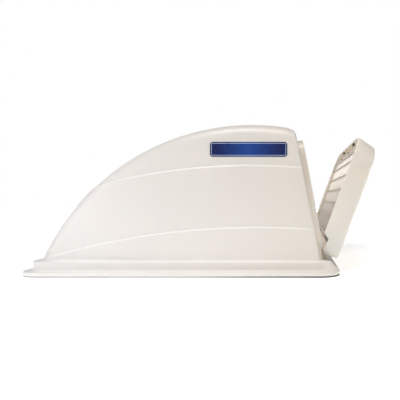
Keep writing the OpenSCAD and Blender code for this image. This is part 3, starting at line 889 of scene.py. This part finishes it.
class Finish:
    """A material under construction, with short ways to add its nodes."""

    def __init__(self, name):
        self.made = bpy.data.materials.new(name)
        self.made.use_nodes = True
        self.nodes = self.made.node_tree.nodes
        self.links = self.made.node_tree.links
        self.shader = self.nodes["Principled BSDF"]
        self.place = self.nodes.new("ShaderNodeTexCoord").outputs["Object"]

    def feed(self, node, key, value):
        """Gives a node's input a number, a colour or another node's output."""
        socket = node.inputs[key]
        if isinstance(value, bpy.types.NodeSocket):
            self.links.new(value, socket)
        else:
            socket.default_value = (*value, 1) if socket.type == "RGBA" else value

    def set(self, **values):
        """Feeds the shader's own inputs."""
        for key, value in values.items():
            self.feed(self.shader, key.replace("_", " "), value)

    def node(self, kind, **values):
        """Adds a node and feeds its inputs."""
        made = self.nodes.new("ShaderNode" + kind)
        for key, value in values.items():
            self.feed(made, key.replace("_", " "), value)
        return made

    def noise(self, scale, detail=3.0, stretch=(1, 1, 1)):
        """Clouds over the object, stretched or squeezed along its axes."""
        spread = self.node("Mapping", Scale=stretch, Vector=self.place).outputs["Vector"]
        return self.node("TexNoise", Scale=scale, Detail=detail, Vector=spread).outputs["Fac"]

    def axis(self, name):
        """The place along an axis, in metres."""
        return self.node("SeparateXYZ", Vector=self.place).outputs[name]

    def remap(self, value, from_low, from_high, low, high):
        """Turns one range of a value into another, and holds it at the ends."""
        made = self.node("MapRange", Value=value, From_Min=from_low, From_Max=from_high, To_Min=low)
        self.feed(made, "To Max", high)
        return made.outputs["Result"]

    def sum(self, operation, first, second=0.0):
        """One step of arithmetic."""
        made = self.node("Math")
        made.operation = operation
        self.feed(made, 0, first)
        self.feed(made, 1, second)
        return made.outputs["Value"]

    def off(self, axis, middle):
        """How far a place is from a middle along an axis, both ways, in metres."""
        return self.sum("ABSOLUTE", self.sum("SUBTRACT", self.axis(axis), middle))

    def mix(self, factor, first, second, blend="MIX"):
        """Mixes two colours."""
        made = self.node("Mix")
        made.data_type = "RGBA"
        made.blend_type = blend
        self.feed(made, "Factor", factor)
        self.feed(made, "A", first)
        self.feed(made, "B", second)
        return made.outputs["Result"]

    def crease_highlight_mask(self, crease):
        """Where the painted crease highlight falls: strongest on a crease's edge and 0 a little way off it.
        """
        cx, top, radius = (value * MM for value in crease)
        square = self.sum("POWER", self.off("X", cx), 2.0)
        height = self.sum("POWER", self.sum("SUBTRACT", radius**2, square), 0.5)
        above = self.sum("SUBTRACT", self.axis("Z"), self.sum("ADD", height, top - radius))
        away = self.sum("ABSOLUTE", self.sum("ADD", above, CREASE_HIGHLIGHT_BELOW * MM))
        most = self.remap(self.axis("X"), CREASE_HIGHLIGHT_X[0] * MM, CREASE_HIGHLIGHT_X[1] * MM, *CREASE_HIGHLIGHT)
        return self.remap(away, CREASE_HIGHLIGHT_WIDTH[0] * MM, CREASE_HIGHLIGHT_WIDTH[1] * MM, most, 0)

    def mottle(self, colour, amount, scale=9.0):
        """A colour that wanders a little lighter and darker."""
        low = [c * (1 - amount) for c in colour]
        high = [min(1.0, c * (1 + amount)) for c in colour]
        return self.mix(self.noise(scale), low, high)

    def fade(self, colour, axis, start, end, ratio):
        """Painted shade: a colour that darkens to a share of itself between two places along an axis."""
        share = self.remap(self.axis(axis), start * MM, end * MM, 0, 1)
        return self.mix(1.0, colour, self.mix(share, (1, 1, 1), ratio), "MULTIPLY")

    def gloss(self, cloud, low, high):
        """Roughness that wanders between two values."""
        self.set(Roughness=self.remap(cloud, *CLOUD, low, high))

    def dent(self, height, strength, depth):
        """Fine relief, to a depth in millimetres."""
        bump = self.node("Bump", Strength=strength, Distance=depth * MM, Height=height)
        self.set(Normal=bump.outputs["Normal"])


def plastic(name, colour, subsurface, reach=10.0, roughness=0.34, tone=0.025, shade_fades=(), creases=()):
    """Moulded plastic: faint mottling, uneven gloss, a fine grain, painted shade fading along an axis and a
    painted highlight along the creases.
    """
    made = Finish(name)
    tint = made.mottle(colour, tone)
    # Painted shade, darkening the colour along each axis
    for fade in shade_fades:
        tint = made.fade(tint, *fade)
    # Painted highlight, whitening each crease's edge, more at the front than at the rear
    for crease in creases:
        tint = made.mix(made.crease_highlight_mask(crease), tint, CREASE_HIGHLIGHT_TINT)
    made.set(Base_Color=tint)
    made.gloss(made.noise(14.0), roughness * 0.85, roughness * 1.2)
    made.dent(made.noise(GRAIN, 2.0), GRAIN_BUMP, GRAIN_DEEP)
    made.set(Subsurface_Weight=subsurface, Subsurface_Radius=(1.0, 0.85, 0.7), Subsurface_Scale=reach * MM)
    made.set(IOR=1.49)
    return made.made


def metal(name, colour, roughness, stretch):
    """Plated metal: drawn streaks, cloudy gloss and fine scratches."""
    made = Finish(name)
    made.set(Base_Color=made.mottle(colour, 0.10, 60.0), Metallic=1.0)
    streaks = made.noise(220.0, 4.0, stretch)
    made.gloss(streaks, roughness * 0.75, roughness * 1.35)
    made.dent(streaks, 0.12, 0.1)
    return made.made


def film(name, node, dark, light, line):
    """Printed film: deep at its ends, lighter between them, with a fine line just inside its edge."""
    made = Finish(name)
    low, high = (np.array(corner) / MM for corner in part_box(node))
    mid, half = (low + high) / 2, (high - low) / 2
    gaps = []
    for axis, k in (("X", 0), ("Z", 2)):
        gaps.append(made.sum("SUBTRACT", made.off(axis, float(mid[k] * MM)), float(half[k] * MM)))
    inset = made.sum("ABSOLUTE", made.sum("ADD", made.sum("MAXIMUM", *gaps), LINE_IN * MM))
    border = made.remap(inset, LINE_WIDTH[0] * MM, LINE_WIDTH[1] * MM, 1, 0)
    base = made.mix(made.remap(gaps[0], -float(half[0]) * MM, -DARK_END * MM, 1, 0), dark, light)
    speck = made.mix(made.noise(400.0, 2.0), (0.9, 0.9, 0.9), (1, 1, 1))
    base = made.mix(1.0, base, speck, "MULTIPLY")
    made.set(Base_Color=made.mix(border, base, line))
    made.gloss(made.noise(20.0), 0.22, 0.32)
    made.dent(made.noise(1200.0, 2.0), 0.03, 0.1)
    return made.made


# Each fade is painted shade, darker where less light falls: axis, where it starts and ends in millimetres,
# and the share of each colour left at its end
HOOD_SHADE_FADES = [("X", -180, 240, (0.895, 0.87, 0.815)), ("Z", 20, 250, (0.885, 0.875, 0.86))]
DOOR_SHADE_FADES = [("Z", 40, 180, (0.87, 0.85, 0.835))]
COLLAR_SHADE_FADES = [("Z", 70, 190, (0.74, 0.73, 0.72))]
HOOD_PLASTIC = plastic("hood_plastic", (0.95, 0.92, 0.90), 0.2, reach=2.5, shade_fades=HOOD_SHADE_FADES, creases=CREASES)
DOOR_PLASTIC = plastic("door_plastic", (0.97, 0.875, 0.765), 0.6, shade_fades=DOOR_SHADE_FADES)
COLLAR_PLASTIC = plastic("collar_plastic", (0.92, 0.83, 0.73), 0.5, shade_fades=COLLAR_SHADE_FADES)
# Painted shade: the screen frame's plastic is darker than the door's, so that its bars show as dark lines
# inside the door
SHADED_RIM_PLASTIC = plastic("rim_plastic", (0.74, 0.66, 0.57), 0.2)
LATCH_PLASTIC = plastic("latch_plastic", (0.030, 0.029, 0.032), 0.0, roughness=0.42, tone=0.15)
SCREEN_FIBRE = plastic("screen_fibre", (0.96, 0.90, 0.83), 0.0, roughness=0.5)
SCREW_STEEL = metal("screw_steel", (0.62, 0.62, 0.60), 0.30, (1, 1, 6))
BRACKET_STEEL = metal("bracket_steel", (0.56, 0.57, 0.58), 0.42, (0.15, 1, 1))
INSERT_BRASS = metal("insert_brass", (0.78, 0.56, 0.24), 0.28, (1, 0.2, 1))
LABEL_BLUES = ((0.010, 0.018, 0.105), (0.020, 0.070, 0.300), (0.50, 0.58, 0.72))
LABEL_FILM = film("label_film", "label_left", *LABEL_BLUES)


# ---------- pieces
def mirrored(y0, y1, side):
    """A span of y on one side, low end first."""
    return sorted((side * y0, side * y1))


def make_hood():
    """The hood: its skin given a thickness, with the bosses for the brackets' bolts and the cheeks."""
    shell = loose_object("shell", hood_skin().mesh("shell"))
    modify(shell, "SOLIDIFY", thickness=HOOD_WALL * MM, offset=-1.0)
    apply_modifiers(shell)
    extras = Solid()
    for side in (-1, 1):
        for x in BOSS_X:
            add_tube(extras, np.asarray, (x, BOSS_Z), "y", *mirrored(*BOSS_Y, side), BOSS_R)
        add_prism(extras, from_wall, CHEEK, *mirrored(*CHEEK_Y, side))
    whole = join("hood", [shell, loose_object("extras", extras.mesh("extras"))])
    smooth(new_piece("hood", whole, "cover", "dome_shell", HOOD_PLASTIC), 55)


def add_louvres(inner):
    """The sloping blades behind the slots, each right across the three bays."""
    for i in range(LOUVRES):
        v = LOUVRE_LOW + i * LOUVRE_PITCH
        blade = [(float(door_depth(v)) - BLADE_IN, v + up) for up in BLADE_BACK_UP]
        blade += [(BLADE_FRONT, v + up) for up in BLADE_FRONT_UP]
        add_prism(inner, from_door, blade, -BLADE_HALF, BLADE_HALF)


def add_seat(inner):
    """The ledge and wall round the screen's frame, and the two mullions between the bays."""
    loop, normals = rounded_loop(*SEAT)
    deep = SEAT_DEEP - SEAT_SHORT * smoothstep((loop[:, 1] - SEAT_SHORT_FROM) / SEAT_SHORT_RUN)
    back = SEAT_N + SEAT_WALL
    profile = [(0, SEAT_N), (SEAT_W, SEAT_N), (SEAT_W, back), (SEAT_WALL, back), (SEAT_WALL, deep), (0, deep)]
    add_swept(inner, from_door, loop, normals, profile)
    n0, n1 = SEAT_N + SEAT_SINK, deep.min()
    v0, v1 = SEAT[2] - SEAT[1] + MULLION_SHORT, SEAT[2] + SEAT[1] - MULLION_SHORT
    post = [(n0, v0), (n0, v1), (n1, v1), (n1, v0)]
    for side in (-1, 1):
        y = side * (BAY + MULLION) / 2
        add_prism(inner, from_door, post, y - MULLION / 2, y + MULLION / 2)


def make_door():
    """The door: its tray, and inside it the louvres, seat, mullions, hinge knuckles and screw posts."""
    tray = loose_object("tray", door_tray().mesh("tray"))
    modify(tray, "SOLIDIFY", thickness=DOOR_WALL * MM, offset=-1.0)
    soften(tray, 0.55, 50)
    apply_modifiers(tray)
    inner = Solid()
    add_louvres(inner)
    add_seat(inner)
    for side in (-1, 1):
        add_tube(inner, from_door, HINGE, "y", *mirrored(*KNUCKLE_Y, side), KNUCKLE_R)
    for spot in SCREW_SPOTS:
        add_tube(inner, from_door, spot, "n", SEAT_N + SEAT_SINK, SEAT_N + POST_END, POST_R)
    inside = loose_object("inside", inner.mesh("inside"))
    soften(inside, 0.4, 50)
    apply_modifiers(inside)
    whole = join("door", [tray, inside])
    smooth(new_piece("door", whole, "door", "louvre_door", DOOR_PLASTIC), 40)


def add_strand(solid, n, start, end):
    """Adds a six-sided strand of the screen, straight along y or v."""
    along_y = start[1] == end[1]
    points = []
    for y, v in (start, end):
        for a in np.radians([0, 60, 120, 180, 240, 300]):
            across = STRAND_R * math.sin(a)
            at = (y, v + across) if along_y else (y + across, v)
            points.append((n + STRAND_R * math.cos(a), *at))
    faces = [(k, (k + 1) % 6, 6 + (k + 1) % 6, 6 + k) for k in range(6)]
    solid.add(from_door(points), faces + [(5, 4, 3, 2, 1, 0), (6, 7, 8, 9, 10, 11)])


def make_screen():
    """The insect screen: straight strands in two layers, fused where they cross, shorter at its corners."""
    solid = Solid()
    half_y, half_v, mid_v = SEAT[0] - SCREEN_IN, SEAT[1] - SCREEN_IN, SEAT[2]
    for y in np.arange(-half_y, half_y, STRAND_GAP):
        end = half_v - max(0.0, abs(y) - half_y + SCREEN_CORNER)
        add_strand(solid, STRAND_N[0], (y, mid_v - end), (y, mid_v + end))
    for v in np.arange(mid_v - half_v, mid_v + half_v, STRAND_GAP):
        end = half_y - max(0.0, abs(v - mid_v) - half_v + SCREEN_CORNER)
        add_strand(solid, STRAND_N[1], (-end, v), (end, v))
    mesh = solid.mesh("screen")
    new_piece("screen", mesh, "door", "insect_screen", SCREEN_FIBRE).data.shade_smooth()


def make_screen_frame():
    """The frame that holds the screen, with bars across it."""
    solid = Solid()
    loop, normals = rounded_loop(SEAT[0] - RIM_GAP, SEAT[1] - RIM_GAP, SEAT[2], SEAT[3])
    n0, n1 = RIM_N
    outer, inner = RIM_EDGES
    profile = [(0, n1), (0, n0 + outer), (outer, n0), (SEAT_W - inner, n0), (SEAT_W, n0 + inner)]
    profile.append((SEAT_W, n1))
    add_swept(solid, from_door, loop, normals, profile)
    reach = SEAT[0] - SEAT_W / 2
    for v in BAR_UP:
        outline = [(n, v + half) for n, half in BAR] + [(n, v - half) for n, half in BAR[::-1]]
        add_prism(solid, from_door, outline, -reach, reach)
    mesh = solid.mesh("screen_rim")
    # The frame's plastic is darkened as painted shade on its bars
    piece = new_piece("screen_rim", mesh, "door", "screen_frame", SHADED_RIM_PLASTIC)
    soften(piece, 0.25, 35)
    apply_modifiers(piece)
    smooth(piece, 40)


def refinish(material, edge, *names):
    """Gives carried-over CAD nodes a material and softens their edges."""
    for name in names:
        part = frame["nodes"][name]
        for slot in part.material_slots:
            slot.material = material
        modify(part, "WELD", merge_threshold=0.005 * MM)
        if edge:
            soften(part, edge, 40)
        modify(part, "WEIGHTED_NORMAL", keep_sharp=True)


make_hood()
make_door()
make_screen()
make_screen_frame()
refinish(COLLAR_PLASTIC, 0.4, "rear_frame", "hinge_pin_left", "hinge_pin_right")
refinish(LATCH_PLASTIC, 0.3, "latch_button_left", "latch_button_right")
refinish(LATCH_PLASTIC, 0.3, "latch_tongue_left", "latch_tongue_right")
refinish(SCREW_STEEL, 0.12, "frame_screws", "screen_screws", "latch_screw_left", "latch_screw_right")
refinish(SCREW_STEEL, 0.2, "bracket_bolts", "bracket_washers")
for corner in ("front_left", "front_right", "rear_left", "rear_right"):
    refinish(BRACKET_STEEL, 0.35, "bracket_" + corner)
refinish(INSERT_BRASS, 0.15, "bracket_inserts")
refinish(LABEL_FILM, 0, "label_left", "label_right")


# ---------- stage
FLOOR_HALF = 6.0
FLOOR_GAP = 2.5
FLOOR_GLOW = 0.56
WORLD_GLOW = 0.16

# The painted contact shadow, a dark ring on the floor under the lip: how far in its middle is, its half
# width, and how much light is left on it at the part's middle and rear. Then the distances over which the
# floor turns white, in metres.
SHADOW_RING_IN = 13.0
SHADOW_RING_HALF = (12.0, 13.5)
SHADOW_RING_LIGHT = (0.6, 0.1)
WHITE_OUT = (0.15, 0.6)


def make_floor():
    """A plain pale floor, with a painted contact shadow: a soft dark ring under the lip."""
    mesh = bpy.data.meshes.new("floor")
    edit = bmesh.new()
    bmesh.ops.create_grid(edit, x_segments=4, y_segments=4, size=FLOOR_HALF)
    edit.to_mesh(mesh)
    edit.free()
    floor = loose_object("floor", mesh)
    floor.location.z = -FLOOR_GAP * MM
    made = Finish("floor_white")
    beyond = []
    for axis, middle, half in (("X", FLANGE_X, FLANGE_L / 2), ("Y", 0.0, FLANGE_W / 2)):
        beyond.append(made.sum("SUBTRACT", made.off(axis, middle * MM), (half - FLANGE_R) * MM))
    squares = [made.sum("POWER", made.sum("MAXIMUM", value), 2.0) for value in beyond]
    corner = made.sum("POWER", made.sum("ADD", *squares), 0.5)
    within = made.sum("MINIMUM", made.sum("MAXIMUM", *beyond))
    gap = made.sum("SUBTRACT", made.sum("ADD", corner, within), FLANGE_R * MM)
    # Painted shadow: the ring darkens the floor's colour and glow, most at the rear
    from_shadow_ring = made.sum("ABSOLUTE", made.sum("ADD", gap, SHADOW_RING_IN * MM))
    shade = made.remap(made.axis("X"), 0.0, FLANGE_L / 2 * MM, *SHADOW_RING_LIGHT)
    clear = made.remap(from_shadow_ring, SHADOW_RING_HALF[0] * MM, SHADOW_RING_HALF[1] * MM, shade, 1)
    made.set(Base_Color=made.mix(clear, (0.0, 0.0, 0.0), (0.85, 0.85, 0.85)))
    seen = made.node("LightPath").outputs["Is Camera Ray"]
    far = made.sum("MULTIPLY", seen, made.remap(gap, *WHITE_OUT, 0, 1))
    glow = made.sum("ADD", made.sum("MULTIPLY", clear, FLOOR_GLOW), far)
    made.set(Roughness=0.8, Specular_IOR_Level=0.1, Emission_Color=(1, 1, 1), Emission_Strength=glow)
    mesh.materials.append(made.made)


def make_world():
    """A surround that looks white and gives a weak even light."""
    world = bpy.data.worlds.new("studio")
    bpy.context.scene.world = world
    world.use_nodes = True
    nodes, links = world.node_tree.nodes, world.node_tree.links
    seen, light = nodes["Background"], nodes.new("ShaderNodeBackground")
    for shader, strength in ((seen, 1.0), (light, WORLD_GLOW)):
        shader.inputs["Color"].default_value = (1, 1, 1, 1)
        shader.inputs["Strength"].default_value = strength
    pick = nodes.new("ShaderNodeMixShader")
    links.new(nodes.new("ShaderNodeLightPath").outputs["Is Camera Ray"], pick.inputs["Fac"])
    links.new(light.outputs["Background"], pick.inputs[1])
    links.new(seen.outputs["Background"], pick.inputs[2])
    links.new(pick.outputs["Shader"], nodes["World Output"].inputs["Surface"])


def area_light(name, place, target, size, watts):
    """A soft rectangular lamp that points at a target."""
    light = bpy.data.lights.new(name, "AREA")
    light.shape = "RECTANGLE"
    light.size, light.size_y = size
    light.energy = watts
    lamp = loose_object(name, light)
    lamp.location = place
    lamp.rotation_euler = (Vector(target) - Vector(place)).to_track_quat("-Z", "Y").to_euler()
    return lamp


def light_only(lamp, *names):
    """Lets a light fall on some pieces and on nothing else, as a flagged lamp does."""
    lit = bpy.data.collections.new(lamp.name + "_lights")
    for name in names:
        lit.objects.link(bpy.data.objects[name])
    lamp.light_linking.receiver_collection = lit


CAMERA_PLACE = (0.1896, -0.94, 0.1269)
CAMERA_SHIFT = (-0.235, -0.00375)
CAMERA_LENS = 38.7
HOME_NEAR = 0.02


def home_shift(camera, lens, path, value):
    """Shifts the lens only while the camera stands at its own place, so that other views stay centred."""
    curve = lens.driver_add(path)
    for extra in list(curve.modifiers):
        curve.modifiers.remove(extra)
    curve.driver.type = "AVERAGE"
    source = curve.driver.variables.new()
    source.type = "TRANSFORMS"
    source.targets[0].id = camera
    source.targets[0].transform_type = "LOC_X"
    source.targets[0].transform_space = "WORLD_SPACE"
    for steps, amount in ((-2, 0), (-1, value), (1, value), (2, 0)):
        key = curve.keyframe_points.insert(CAMERA_PLACE[0] + steps * HOME_NEAR, amount)
        key.interpolation = "LINEAR"


def make_camera():
    """A camera beside the part, level, with its lens shifted as in the photo."""
    lens = bpy.data.cameras.new("camera")
    lens.sensor_width = 36.0
    lens.lens = CAMERA_LENS
    camera = loose_object("camera", lens)
    camera.location = CAMERA_PLACE
    camera.rotation_euler = (math.pi / 2, 0, 0)
    home_shift(camera, lens, "shift_x", CAMERA_SHIFT[0])
    home_shift(camera, lens, "shift_y", CAMERA_SHIFT[1])
    bpy.context.scene.camera = camera


make_floor()
make_world()
area_light("over", (-0.1, -0.75, 1.9), (0, 0, 0.1), (1.2, 0.8), 22)
area_light("key", (-1.5, -1.2, 0.5), (0, 0, 0.1), (1.2, 0.8), 5.5)
area_light("side", (1.5, -0.5, 0.8), (0.3, 0, 0.12), (0.9, 0.9), 4)
into_door = area_light("into_door", (-0.9, 0.1, 1.5), (0.3, 0, 0.15), (1.0, 1.0), 12.8)
light_only(into_door, "door", "screen", "screen_rim", "screen_screws")
make_camera()
bpy.context.scene.view_settings.view_transform = "Standard"
